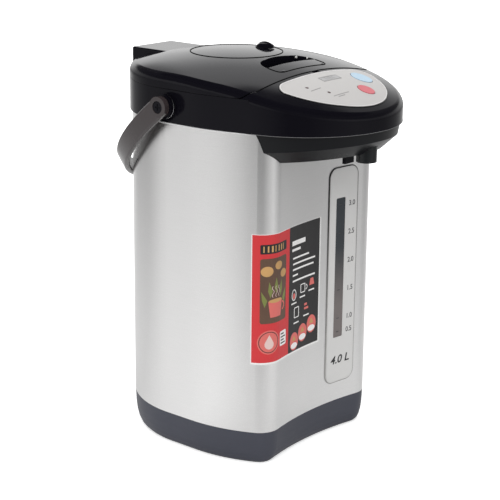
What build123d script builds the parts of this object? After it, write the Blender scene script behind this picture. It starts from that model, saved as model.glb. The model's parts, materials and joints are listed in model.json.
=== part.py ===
"""Electric thermo pot: every piece as its own solid, in millimetres.

Frame: +Z up, -Y towards the spout, origin on the table under the axis of the water tank.
"""
from build123d import *
from math import acos, atan2, cos, hypot, pi, radians, sin, sqrt
import os

# ---------------------------------------------------------------- driving dimensions
# plan of the body, tangent arcs, mirrored about x = 0
BODY_R = 90.0            # rear half circle
FLANK_R = 129.5          # gently bowed side
FLANK_Y = -28.0          # where the side starts to bow in
CORNER_R = 18.0          # front corners
DISH_R = 280.0           # hollow front face
FRONT_Y = -91.2          # middle of the hollow front face
TIP_R = 83.0             # nose of the head
TIP_Y = -72.0            # centre of the nose arc
HEAD_PROUD = 2.0         # the black head stands this far outside the steel

# levels
BASE_Z = 0.7             # underside of the base, on its feet
SHELL_Z = 30.0           # lower edge of the steel
COLLAR_Z = 287.5         # upper edge of the steel
LID_Z = 315.0            # seam under the lid
DOME_R = 360.0           # one shallow dome over lid and beak
DOME_TOP = 338.2
LID_FRONT_Y = -83.8      # seam between lid and beak
LID_GAP = 0.9
SEAM_R = 10.8            # the seam turns down to the side seam in this radius
SEAM_X = 74.0            # from here outwards

# walls
STEEL_T = 0.8
WALL = 2.5
SHOULDER_R = 8.0

# tank
TANK_R = 78.8            # inside, about 195 square centimetres
TANK_T = 0.8
TANK_FLOOR = 56.0
TANK_TOP = 308.0
TANK_BEND = 12.0
TANK_FLANGE_R = 84.4     # rim of the tank, resting on the head's deck

# level gauge, right of the middle on the front face
GAUGE_X = 33.1
GAUGE_W = 36.0
GAUGE_Z = (47.0, 243.5)
SLOT_X = 30.2
SLOT_W = 11.4
SLOT_Z = (89.5, 216.0)
TUBE_Y = -83.0
TUBE_R = 5.0

# pump plate, lock knob and release lever in the lid
PLATE_R = 39.4
PLATE_GAP = 0.8
PLATE_TRAVEL = 15.0
KNOB_AT = (26.5, -10.0)
KNOB_R = 8.4
KNOB_BASE = 337.3
KNOB_TOP = 342.6
RIB_PROUD = 0.8          # grip rib over the knob's crown
RECESS_HALF = 32.5
RECESS_Y = (-75.3, -43.2)
RECESS_R = (7.0, 16.0)   # front and rear corners
REAR_BOW = 2.0           # the rear edge bows this far
LEVER_BACK_Y = -61.0
LEVER_AXIS = (-72.2, 327.8)
LEVER_PIN_R = 1.2
BOLT_Z = (318.8, 323.2)  # latch bolt between lid and beak

# lid hinge behind the body
HINGE_Y = 96.0
HINGE_Z = 318.0
HINGE_PIN_R = 2.0
BLOCK_HALF = 25.8
BLOCK_Y = (60.0, 101.3)
BLOCK_TOP = 332.4

# carrying handle
PIVOT_Y = -4.0
PIVOT_Z = 301.5
BOSS_R = 10.5
ARM_IN = 98.8
ARM_T = 5.2
ARM_W = 17.6
ARM_STRAIGHT = 5.0
GRIP_REACH = 125.0       # pivot axis to the inside of the grip
HANDLE_TILT = 38.8       # stored this far below level
PIN_R = 4.0
PIN_HEAD_R = 4.9

# beak fittings
NOZZLE_Y = -140.5
NOZZLE_R = 8.5
NOZZLE_Z = 260.0
CUP_Y = -122.0
CUP_AXIS_Z = 279.0
RED_AT = (16.5, -126.1)
RED_R = 7.5
BLUE_AT = (36.5, -106.5)
BLUE_R = 9.6
DISPLAY_AT = (0.0, -101.0)
DISPLAY_SIZE = (22.4, 5.6)
LAMP_R = 1.2

# chin under the beak: a blunt cone, its underside rising towards the nose
CHIN_Y = -79.4
CHIN_R = 77.0
CHIN_DRAFT = 0.19        # loses this much radius per millimetre downwards
CHIN_Z = (261.2, 268.5)  # underside at CHIN_UNDER_Y
CHIN_UNDER_Y = (-92.0, -150.0)
CHIN_BEVEL = 10.5
CHIN_T = 2.5
FLANGE_Y = -88.9         # the chin's top flange closes the beak from here forwards
FLANGE_T = 1.4

# pump under the tank
PUMP_R = 24.0
PUMP_Z = (30.0, 47.0)

RUN_GAP = 0.05           # radial clearance of a pin that turns in a hole

PARTS = {}


def keep(name, shape):
    """Store one named piece."""
    PARTS[name] = shape
    return shape


# ---------------------------------------------------------------- outlines in plan
def polar(centre, radius, angle):
    return (centre[0] + radius * cos(angle), centre[1] + radius * sin(angle))


def bearing(a, b):
    return atan2(b[1] - a[1], b[0] - a[0])


FLANK_C = (BODY_R - FLANK_R, FLANK_Y)
DISH_C = (0.0, FRONT_Y - DISH_R)
TIP_C = (0.0, TIP_Y)


def corner_centre():
    """Centre of the front corner arc, tangent to the flank inside and to the dish outside."""
    ra, rb = FLANK_R - CORNER_R, DISH_R + CORNER_R
    d = hypot(DISH_C[0] - FLANK_C[0], DISH_C[1] - FLANK_C[1])
    along = (ra * ra - rb * rb + d * d) / (2 * d)
    side = sqrt(ra * ra - along * along)
    u = bearing(FLANK_C, DISH_C)
    foot = polar(FLANK_C, along, u)
    return polar(foot, side, u + pi / 2)


CORNER_C = corner_centre()


def mirrored(p):
    return (-p[0], p[1])


def rear_and_flanks(off, low_angle):
    """Arcs from the right flank end, round the back, to the left flank end."""
    end = polar(FLANK_C, FLANK_R + off, low_angle)
    mid = polar(FLANK_C, FLANK_R + off, low_angle / 2)
    top = (BODY_R + off, FLANK_Y)
    side = (BODY_R + off, 0.0)
    return end, [
        ThreePointArc(end, mid, top),
        Line(top, side),
        ThreePointArc(side, (0, BODY_R + off), mirrored(side)),
        Line(mirrored(side), mirrored(top)),
        ThreePointArc(mirrored(top), mirrored(mid), mirrored(end)),
    ]


def body_outline(off=0.0):
    """Plan of the steel body, grown outwards by off."""
    flank_angle = bearing(FLANK_C, CORNER_C)
    dish_angle = bearing(DISH_C, CORNER_C)
    flank_end, edges = rear_and_flanks(off, flank_angle)
    dish_end = polar(DISH_C, DISH_R - off, dish_angle)
    mid_angle = (flank_angle + dish_angle - pi) / 2
    corner_mid = polar(CORNER_C, CORNER_R + off, mid_angle)
    edges += [
        ThreePointArc(mirrored(flank_end), mirrored(corner_mid), mirrored(dish_end)),
        ThreePointArc(mirrored(dish_end), (0, FRONT_Y - off), dish_end),
        ThreePointArc(dish_end, corner_mid, flank_end),
    ]
    return make_face(Curve() + edges)


def head_outline(off=0.0):
    """Plan of the head: the body's back and flanks, run out to the rounded beak."""
    d = hypot(FLANK_C[0] - TIP_C[0], FLANK_C[1] - TIP_C[1])
    lean = bearing(TIP_C, FLANK_C) - acos((TIP_R - FLANK_R) / d)
    flank_end, edges = rear_and_flanks(off, lean)
    tip_end = polar(TIP_C, TIP_R + off, lean)
    edges += [
        Line(mirrored(flank_end), mirrored(tip_end)),
        ThreePointArc(mirrored(tip_end), (0, TIP_Y - TIP_R - off), tip_end),
        Line(tip_end, flank_end),
    ]
    return make_face(Curve() + edges)


def slab(face, z0, z1):
    """The face, raised from z0 to z1."""
    return extrude(Pos(0, 0, z0) * face, amount=z1 - z0, dir=(0, 0, 1))


def box(x0, x1, y0, y1, z0, z1):
    centre = Pos((x0 + x1) / 2, (y0 + y1) / 2, (z0 + z1) / 2)
    return centre * Box(x1 - x0, y1 - y0, z1 - z0)


def rod(x, y, z0, z1, r):
    return Pos(x, y, (z0 + z1) / 2) * Cylinder(r, z1 - z0)


def cross_rod(x0, x1, y, z, r):
    return Pos((x0 + x1) / 2, y, z) * Rot(0, 90, 0) * Cylinder(r, x1 - x0)


def tube(x, y, z0, z1, r_out, r_in):
    return rod(x, y, z0, z1, r_out) - rod(x, y, z0 - 1, z1 + 1, r_in)


def ball(off=0.0):
    """The dome's ball, grown by off."""
    return Pos(0, 0, DOME_TOP - DOME_R) * Sphere(DOME_R + off)


def dome_z(x, y):
    return DOME_TOP - DOME_R + sqrt(DOME_R ** 2 - x * x - y * y)


def dome_plane(x, y, sink=0.0):
    """Plane on the dome at x, y, sunk inwards along the dome's normal."""
    centre = Vector(0, 0, DOME_TOP - DOME_R)
    normal = (Vector(x, y, dome_z(x, y)) - centre).normalized()
    return Plane(origin=centre + normal * (DOME_R - sink), z_dir=normal, x_dir=(1, 0, 0))


def both(shape):
    """The shape with its mirror image in x."""
    return [shape, mirror(shape, about=Plane.YZ)]


def pipe(points, radius, bend):
    """Round bar along straight runs joined by arcs."""
    path = FilletPolyline(*points, radius=bend)
    start = Plane(origin=path @ 0, z_dir=path % 0)
    return sweep(start * Circle(radius), path=path)


# ---------------------------------------------------------------- base
def build_base():
    sections = [Pos(0, 0, z) * body_outline(-inset) for z, inset in BASE_PROFILE]
    outer = Part() + [loft([low, high], ruled=True) for low, high in zip(sections, sections[1:])]
    skirt = outer - slab(body_outline(-8.2), BASE_Z - 1, SHELL_Z + 1)
    lip = slab(body_outline(-STEEL_T - 0.2), SHELL_Z, SHELL_Z + 6)
    lip -= slab(body_outline(-3.0), SHELL_Z - 1, SHELL_Z + 7)
    land = slab(body_outline(-0.9), SHELL_Z - 4, SHELL_Z)
    land -= slab(body_outline(-8.4), SHELL_Z - 5, SHELL_Z + 1)
    posts = [rod(x, y, PLATE_TOP, 24.0, 5.0) for x, y in SCREWS]
    webs = [box(-95, 95, y - 2, y + 2, PLATE_TOP, 22.0) - box(-68, 68, -99, 99, 0, 30) for _, y in SCREWS[::2]]
    housing = skirt + land + lip + posts + (Part() + webs & slab(body_outline(-6.6), PLATE_TOP, 22.0))
    housing -= [rod(x, y, PLATE_TOP - 1, 20.0, 1.5) for x, y in SCREWS]
    housing -= box(-24, 24, 70, 95, SHELL_Z + 0.01, SHELL_Z + 8)
    keep("base_housing", housing)

    plate = slab(body_outline(-8.5), PLATE_TOP - 2.5, PLATE_TOP)
    plate -= [rod(x, y, 0, 8, 1.7) + rod(x, y, 0, HEAD_Z, 3.7) for x, y in SCREWS]
    for y in (-12, -4, 4, 12):
        plate -= both(box(13, 36, y - 1.5, y + 1.5, 0, 8))
    keep("base_plate", plate)
    screws = [rod(x, y, HEAD_Z - 1.5, HEAD_Z, 3.4) + rod(x, y, HEAD_Z - 0.1, 16.0, 1.45) for x, y in SCREWS]
    keep("base_screws", Compound(children=screws))
    keep("rubber_feet", Compound(children=[foot(x, y) for x, y in FEET]))


SCREWS = [(-68, -52), (68, -52), (-68, 38), (68, 38)]
FEET = [(0, 0), (-56, -68), (56, -68), (-50, 50), (50, 50)]
PLATE_TOP = BASE_Z + 3.0
HEAD_Z = PLATE_TOP - 0.8     # screw heads bear here, in the plate's counterbores
BASE_PROFILE = ((BASE_Z, 6.4), (BASE_Z + 2.2, 4.1), (6.5, 2.5), (11.5, 1.3), (18.5, 0.5), (SHELL_Z, 0.0))


def foot(x, y):
    pad = rod(x, y, 0, BASE_Z + 0.5, 8.0)
    return chamfer(pad.edges().filter_by(GeomType.CIRCLE).group_by(Axis.Z)[0], 0.6)


# ---------------------------------------------------------------- steel shell and level gauge
def build_shell():
    shell = slab(body_outline(), SHELL_Z, COLLAR_Z) - slab(body_outline(-STEEL_T), SHELL_Z - 1, COLLAR_Z + 1)
    shell -= box(SLOT_X - SLOT_W / 2 + 0.6, SLOT_X + SLOT_W / 2 - 0.6, -110, -70, SLOT_Z[0] + 1, SLOT_Z[1] - 1)
    shell -= box(-INLET_HALF, INLET_HALF, 70, 95, INLET_Z[0], INLET_Z[1])
    keep("outer_shell", shell)

    height = GAUGE_Z[1] - GAUGE_Z[0]
    frame_face = Plane.XZ * Pos(GAUGE_X, (GAUGE_Z[0] + GAUGE_Z[1]) / 2) * RectangleRounded(GAUGE_W, height, 9)
    cutter = extrude(frame_face, amount=130)
    skin = slab(body_outline(1.0), 40, 250) - slab(body_outline(0.0), 39, 251)
    window = box(SLOT_X - SLOT_W / 2, SLOT_X + SLOT_W / 2, -120, -60, SLOT_Z[0], SLOT_Z[1])
    keep("gauge_bezel", (skin & cutter) - window)
    glass = slab(body_outline(0.7), 40, 250) - slab(body_outline(0.0), 39, 251)
    inner = box(SLOT_X - SLOT_W / 2 + 0.1, SLOT_X + SLOT_W / 2 - 0.1, -120, -60, SLOT_Z[0] + 0.1, SLOT_Z[1] - 0.1)
    keep("gauge_window", glass & inner)
    keep("level_tube", tube(SLOT_X, TUBE_Y, 80, 289, TUBE_R, TUBE_R - 1.2))


INLET_HALF = 17.0
INLET_Z = (37.0, 57.0)


def build_inlet():
    """Two-pin mains socket in the back of the shell."""
    z_mid = (INLET_Z[0] + INLET_Z[1]) / 2
    cup = box(-INLET_HALF + 0.3, INLET_HALF - 0.3, 81, 90, INLET_Z[0] + 0.3, INLET_Z[1] - 0.3)
    flange = slab(body_outline(1.8), INLET_Z[0] - 3, INLET_Z[1] + 3) \
        - slab(body_outline(0.0), INLET_Z[0] - 4, INLET_Z[1] + 4)
    flange &= box(-INLET_HALF - 4, INLET_HALF + 4, 60, 100, 30, 70)
    socket = cup + flange
    socket -= box(-INLET_HALF + 2.5, INLET_HALF - 2.5, 83, 100, INLET_Z[0] + 2.5, INLET_Z[1] - 2.5)
    keep("power_inlet", socket)
    pins = [Pos(x, 86, z_mid) * Rot(90, 0, 0) * Cylinder(1.6, 6) for x in (-7, 7)]
    keep("inlet_pins", Compound(children=pins))


# ---------------------------------------------------------------- tank, heaters, pump
def build_tank():
    r_in, r_out = TANK_R, TANK_R + TANK_T
    floor = TANK_FLOOR - 1.0
    with BuildPart() as tank:
        with BuildSketch(Plane.XZ):
            with BuildLine():
                Polyline((0, floor), (r_out - TANK_BEND, floor))
                RadiusArc((r_out - TANK_BEND, floor), (r_out, floor + TANK_BEND), -TANK_BEND)
                Polyline((r_out, floor + TANK_BEND), (r_out, TANK_TOP - TANK_T),
                         (TANK_FLANGE_R, TANK_TOP - TANK_T), (TANK_FLANGE_R, TANK_TOP), (r_in, TANK_TOP),
                         (r_in, TANK_FLOOR + TANK_BEND))
                bend_in = TANK_BEND - 0.4
                RadiusArc((r_in, TANK_FLOOR + TANK_BEND), (r_in - bend_in, TANK_FLOOR + 0.4), bend_in)
                Polyline((r_in - bend_in, TANK_FLOOR + 0.4), (0, TANK_FLOOR), (0, floor))
            make_face()
        revolve(axis=Axis.Z)
    keep("inner_tank", tank.part - rod(0, 0, 50, 60, 6.0))
    keep("tank_gasket", tube(0, 0, DECK_Z[1], TANK_TOP - TANK_T, TANK_FLANGE_R - 0.4, r_out + 0.8))
    keep("heater_plate", tube(0, 0, 50.5, floor, 62, 30))
    keep("band_heater", tube(0, 0, 70, 98, r_out + 2.2, r_out + 0.3))
    keep("thermostats", Compound(children=[rod(x, y, 43.0, 50.5, 8.0) for x, y in ((-44, 12), (-38, -26))]))
    keep("thermal_fuse", Pos(44, 10, 47.5) * Rot(90, 0, 0) * Cylinder(3.0, 18))


def build_pump():
    z0, z1 = PUMP_Z
    volute = rod(0, 0, z0, z1, PUMP_R) - rod(0, 0, z0 + 3, z1 - 3, PUMP_R - 3)
    volute += rod(0, 0, z1 - 0.1, TANK_FLOOR - 1.0, 9.0)
    volute -= rod(0, 0, z1 - 4, TANK_FLOOR, 6.0)
    outlet_z = (z0 + z1) / 2
    volute += Pos(0, -PUMP_R - 3, outlet_z) * Rot(90, 0, 0) * Cylinder(5.5, 12)
    volute -= Pos(0, -PUMP_R - 3, outlet_z) * Rot(90, 0, 0) * Cylinder(3.5, 16)
    volute -= rod(0, 0, z0 + 3, z1 - 3, PUMP_R - 3)
    volute += rod(0, 0, z0 + 1, z1 - 4.5, 1.5)
    keep("pump_housing", volute)

    vanes = [Rot(0, 0, a) * box(3.5, 17.5, -0.8, 0.8, z0 + 5.9, z1 - 5) for a in range(0, 360, 60)]
    wheel = rod(0, 0, z0 + 4, z0 + 6, 18.0) + rod(0, 0, z0 + 4, z1 - 5, 4.5) + vanes
    wheel -= rod(0, 0, z0, z1, 1.5 + RUN_GAP)
    keep("impeller", wheel)

    keep("pump_motor", rod(0, 0, 7.0, z0, 17.0) - rod(0, 0, 6.0, 8.5, 5.0))
    ears = box(-34, 34, -6, 6, z0 - 4, z0 - 2) - rod(0, 0, 0, z0, 17.0)
    legs = [box(x - 2, x + 2, -6, 6, PLATE_TOP, z0 - 3) for x in (-32, 32)]
    keep("pump_bracket", ears + tube(0, 0, z0 - 8, z0, 19.0, 17.0) + legs)

    route = [(0, -33, outlet_z), (0, -58, outlet_z), (SLOT_X, TUBE_Y, outlet_z), (SLOT_X, TUBE_Y, 80)]
    keep("outlet_hose", pipe(route, 5.0, 9.0) - pipe(route, 3.4, 9.0))


def build_electrics():
    board = box(-26, 26, 44, 68, 8.0, 9.6) + box(-20, -4, 50, 62, 9.6, 24) + rod(10, 56, 9.6, 26, 6.0)
    keep("power_board", board)
    posts = [rod(x, y, PLATE_TOP, 8.0, 3.0) for x in (-22, 22) for y in (47, 65)]
    keep("board_posts", Compound(children=posts))


# ---------------------------------------------------------------- head: collar, beak and chin
BEAK_Y = LID_FRONT_Y - LID_GAP           # back face of the beak
SKIN_IN = 4.0                            # side walls of lid and beak, thick enough for the shoulder
ROOF_T = 3.0
DECK_Z = (302.2, TANK_TOP - TANK_T - 2.0)


def half_space(y0, y1):
    return box(-130, 130, y0, y1, 0, 420)


def head_form(off=HEAD_PROUD, dome_off=0.0, radius=SHOULDER_R):
    """Whole head from the steel up to the dome, its shoulder rounded all the way round."""
    block = slab(head_outline(off), COLLAR_Z, DOME_TOP + 5) & ball(dome_off)
    rim = block.edges().filter_by(lambda e: e.center().Z > COLLAR_Z + 3 and abs(e.tangent_at(0.5).Z) < 0.5)
    return fillet(rim, radius)


def seam_corner(radius, x_from):
    """What a rounded corner takes off the lid's lower front edge, at each side wall."""
    y, z = LID_FRONT_Y + SEAM_R, LID_Z + 0.3 + SEAM_R
    corner = box(x_from, 100, LID_FRONT_Y - 2, y, LID_Z - 2, z) - cross_rod(x_from - 1, 101, y, z, radius)
    return both(corner)


def build_head():
    beak = head_form() & half_space(-200, BEAK_Y)
    collar = slab(head_outline(HEAD_PROUD), COLLAR_Z, LID_Z) & half_space(BEAK_Y, 120)
    hollow = slab(head_outline(HEAD_PROUD - WALL), COLLAR_Z - 1, DECK_Z[0])
    hollow += slab(head_outline(HEAD_PROUD - WALL), DECK_Z[1], LID_Z + 1) & half_space(BEAK_Y, 120)
    beak_hollow = slab(head_outline(HEAD_PROUD - SKIN_IN), COLLAR_Z - 1, DOME_TOP) & ball(-ROOF_T)
    hollow &= ball(-ROOF_T)
    hollow += beak_hollow & half_space(-200, BEAK_Y - WALL)
    head = beak + collar - hollow
    wall = head_form() - beak_hollow
    wall &= box(-130, 130, BEAK_Y - 1, -60, LID_Z - 0.5, 340)
    head += [part & wall for part in seam_corner(SEAM_R + LID_GAP, SEAM_X + LID_GAP)]
    head -= rod(0, 0, 295, 400, TANK_R + TANK_T + 0.8)
    head -= box(-4.3, 4.3, BEAK_Y - WALL - 1, LID_FRONT_Y + 1, BOLT_Z[0] - 0.6, 345)
    lip = slab(body_outline(-STEEL_T - 0.2), COLLAR_Z - 5, COLLAR_Z + 2) - slab(body_outline(-3.0), 200, 400)
    shelf = slab(head_outline(HEAD_PROUD - 0.5), COLLAR_Z, COLLAR_Z + 2) - slab(body_outline(-3.0), 200, 400)
    head += (lip + shelf) & half_space(-62, 120)
    for x, y in BOARD_POSTS:
        head += board_plane() * Pos(x, y, 6) * Cylinder(3.0, 12) & ball(-1)
    for x, y, r in (RED, BLUE):
        head -= dome_plane(x, y, 3) * Cylinder(r + 0.4, 9)
    head -= dome_plane(*DISPLAY_AT, 1.5) * Box(DISPLAY_SIZE[0] + 1, DISPLAY_SIZE[1] + 1, 8)
    head -= [dome_plane(x, y, 3) * Cylinder(LAMP_R + 0.3, 9) for x, y in LAMPS]
    head -= [Pos(x, PIVOT_Y, PIVOT_Z) * Rot(0, 90, 0) * Cylinder(PIN_R + 0.3, 20) for x in (-90, 90)]
    head += box(-15.3, 15.3, 89.0, 93.5, 300, 314.5)
    keep("upper_housing", head)

    ear = Pos(0, HINGE_Y, HINGE_Z) * Rot(0, 90, 0) * Cylinder(3.4, 30.6)
    ear += box(-15.3, 15.3, 93.5, 96.6, 300, HINGE_Z)
    ear -= cross_rod(-20, 20, HINGE_Y, HINGE_Z, HINGE_PIN_R)
    keep("hinge_bracket", ear)
    keep("hinge_pin", cross_rod(-21.5, 21.5, HINGE_Y, HINGE_Z, HINGE_PIN_R))


RED = (*RED_AT, RED_R)
BLUE = (*BLUE_AT, BLUE_R)
LAMPS = ((-35.8, -105.3), (-24.4, -118.9))
BOARD_POSTS = ((-36, -2), (45.5, 0))


def board_plane():
    """Upper face of the control board, parallel to the dome above it."""
    return dome_plane(6, -114, 12.0)


def panel_face():
    """Outline of the control panel in plan: straight at the back, rounded to the nose."""
    back, corner, side, mid, nose = (46.5, -89.0), (54.2, -91.7), (58.9, -100.0), (48.8, -121.0), (30.5, -137.2)
    edges = [Line(mirrored(back), back), ThreePointArc(back, corner, side), ThreePointArc(side, mid, nose),
             ThreePointArc(nose, (0, -146.4), mirrored(nose)),
             ThreePointArc(mirrored(nose), mirrored(mid), mirrored(side)),
             ThreePointArc(mirrored(side), mirrored(corner), mirrored(back))]
    return make_face(Curve() + edges)


def along(plane, point, direction):
    """Distance from a point to a plane in a direction."""
    return (plane.origin - point).dot(plane.z_dir) / direction.dot(plane.z_dir)


def build_panel():
    overlay = slab(panel_face(), 290, 345) & (ball(0.6) - ball(0.0))
    for x, y, r in (RED, BLUE):
        overlay -= dome_plane(x, y, 3) * Cylinder(r + 0.4, 9)
    wide, deep = DISPLAY_SIZE
    overlay -= dome_plane(*DISPLAY_AT, 0) * Box(wide + 0.2, deep + 0.2, 8)
    overlay -= [dome_plane(x, y, 0) * Cylinder(LAMP_R + 0.3, 9) for x, y in LAMPS]
    keep("control_overlay", overlay)
    keep("display_window", dome_plane(*DISPLAY_AT, 0.9) * Box(wide, deep, 3.0))

    board = board_plane()
    keep("control_board", board * Pos(4, 1.5, -0.8) * Box(96, 33, 1.6))
    lamps, switches = [], []
    for x, y in LAMPS:
        top = dome_plane(x, y, -0.7)
        length = along(board, top.origin, -top.z_dir)
        lamps.append(top * Pos(0, 0, -length / 2 + 0.2) * Cylinder(LAMP_R, length - 0.4))
    for x, y, r in (RED, BLUE):
        top = dome_plane(x, y)
        foot_at = board.to_local_coords(top.origin - top.z_dir * along(board, top.origin, -top.z_dir))
        switches.append(board * Pos(foot_at.X, foot_at.Y, 1.3) * Box(6, 6, 2.6))
    keep("lamps", Compound(children=lamps))
    keep("tact_switches", Compound(children=switches))
    down = dome_plane(*DISPLAY_AT, 2.4)
    length = along(board, down.origin, -down.z_dir)
    keep("display_module", down * Pos(0, 0, -length / 2 + 0.4) * Box(wide - 1, deep - 1, length - 1.2))
    build_button("dispense_button", RED)
    build_button("reboil_button", BLUE)


def build_button(name, where):
    """Push button: crowned cap, retaining flange and stem down to its switch."""
    x, y, r = where
    plane = dome_plane(x, y)
    reach = along(board_plane(), plane.origin, -plane.z_dir) - 2.6 - 1.2
    cap = plane * Pos(0, 0, -1.0 + 0.9 / 2) * Cylinder(r, 2.0 + 0.9)
    flange = plane * Pos(0, 0, -ROOF_T - 1.3) * Cylinder(r + 1.4, 1.2)
    stem = plane * Pos(0, 0, -reach / 2 - 0.9) * Cylinder(2.2, reach - 1.8)
    neck = plane * Pos(0, 0, -2.6) * Cylinder(r - 1.0, 3.0)
    keep(name, cap + flange + stem + neck)


def below(z_near, z_tip):
    """Everything under a plane that rises towards the nose."""
    y_near, y_tip = CHIN_UNDER_Y
    slope = atan2(z_tip - z_near, y_near - y_tip)
    plane = Plane(origin=(0, y_near, z_near), x_dir=(1, 0, 0), z_dir=(0, sin(slope), cos(slope)))
    return plane * Pos(0, 0, -100) * Box(400, 400, 200)


def chin_form(inset, bevel):
    """The chin's blunt cone, drawn in by inset at the sides and underneath."""
    height = 40.0
    top = CHIN_R - inset
    block = Pos(0, CHIN_Y, COLLAR_Z - height / 2) * Cone(top - height * CHIN_DRAFT, top, height)
    block -= below(CHIN_Z[0] + inset, CHIN_Z[1] + inset)
    return chamfer(block.edges().group_by(Axis.Z)[0], bevel)


def build_chin():
    beyond = half_space(-200, CHIN_Y)
    chin = chin_form(0, CHIN_BEVEL) & beyond
    chin += slab(head_outline(HEAD_PROUD - SKIN_IN), COLLAR_Z, COLLAR_Z + FLANGE_T) & half_space(-200, FLANGE_Y)
    chin -= slab(body_outline(0.15), 200, 300)
    inner = chin_form(CHIN_T, CHIN_BEVEL - 1.0)
    chin -= (inner + Pos(0, 0, 5) * inner) & beyond
    cheek = box(10.0, 12.5, CUP_Y - 4, CUP_Y + 14, CHIN_Z[0], 283.5)
    chin += [part & chin_form(1.0, CHIN_BEVEL) for part in both(cheek)]
    chin -= rod(0, NOZZLE_Y, 250, 280, NOZZLE_R + 0.2)
    chin -= box(-6.8, 6.8, CUP_Y - 2.6, CUP_Y + 5.5, 255, 274)
    chin -= cross_rod(-30, 30, CUP_Y, CUP_AXIS_Z, 1.25)
    keep("chin_cover", chin)

    nozzle = rod(0, NOZZLE_Y, NOZZLE_Z, 277.0, NOZZLE_R)
    nozzle += rod(0, NOZZLE_Y, 275.2, 277.0, 11.0) & chin_form(CHIN_T + 0.2, CHIN_BEVEL)
    nozzle -= rod(0, NOZZLE_Y, NOZZLE_Z - 1, 272.0, 5.5) + rod(0, NOZZLE_Y, 260, 280, 2.8)
    keep("nozzle", nozzle)

    lever = box(-6, 6, CUP_Y - 1.5, CUP_Y + 1.5, 256.0, CUP_AXIS_Z)
    lever += cross_rod(-9.4, 9.4, CUP_Y, CUP_AXIS_Z, 3.0)
    lever -= cross_rod(-10, 10, CUP_Y, CUP_AXIS_Z, 1.2 + RUN_GAP)
    keep("cup_lever", lever)
    keep("cup_lever_pin", cross_rod(-12.4, 12.4, CUP_Y, CUP_AXIS_Z, 1.2))
    switch = box(-9.9, 9.9, CUP_Y + 5.8, CUP_Y + 13.5, 271.5, 281.5)
    switch += box(-1.5, 1.5, CUP_Y + 3.2, CUP_Y + 6, 272.5, 275)
    keep("cup_switch", switch)


VALVE_Z = (289.0, 302.0)


def build_spout():
    z0, z1 = VALVE_Z
    valve = rod(SLOT_X, TUBE_Y, z0, z1, 8.0) + Pos(SLOT_X, TUBE_Y - 6, z0 + 6) * Rot(90, 0, 0) * Cylinder(4.0, 8)
    valve -= rod(SLOT_X, TUBE_Y, z0 + 2, z1 - 2, 6.2)
    valve -= rod(SLOT_X, TUBE_Y, z0 - 1, z0 + 3, 3.0)
    valve -= Pos(SLOT_X, TUBE_Y - 8, z0 + 6) * Rot(90, 0, 0) * Cylinder(2.8, 6)
    keep("backflow_valve", valve)
    keep("valve_ball", Pos(SLOT_X, TUBE_Y, z0 + 5.0) * Sphere(4.0))
    z = z0 + 6
    route = [(SLOT_X, TUBE_Y - 10, z), (SLOT_X, -106, z), (0, -126, z), (0, NOZZLE_Y, z), (0, NOZZLE_Y, 277)]
    keep("spout_pipe", pipe(route, 4.0, 6.0) - pipe(route, 2.8, 6.0))


# ---------------------------------------------------------------- lid
def recess_face(grow=0.0):
    """Outline of the finger recess: small corners in front, wide ones and a bowed edge behind."""
    (front, rear), w = RECESS_Y, RECESS_HALF
    small, wide = RECESS_R
    shoulder = (w - wide, rear - REAR_BOW)
    c = 1 - sqrt(0.5)
    right = [Line((0, front), (w - small, front)),
             ThreePointArc((w - small, front), (w - c * small, front + c * small), (w, front + small)),
             Line((w, front + small), (w, shoulder[1] - wide)),
             ThreePointArc((w, shoulder[1] - wide), (w - c * wide, shoulder[1] - c * wide), shoulder)]
    edges = [mirror(edge, about=Plane.YZ) for edge in right]
    face = make_face(Curve() + right + edges + ThreePointArc(shoulder, (0, rear), mirrored(shoulder)))
    return offset(face, grow) if grow else face


POCKET_Z = 316.5
PAN_R = 76.5
PAN_Z = (298.0, 310.3, 312.3)
LID_POSTS = [(50, -45), (-50, -45), (50, 45), (-50, 45)]


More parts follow.
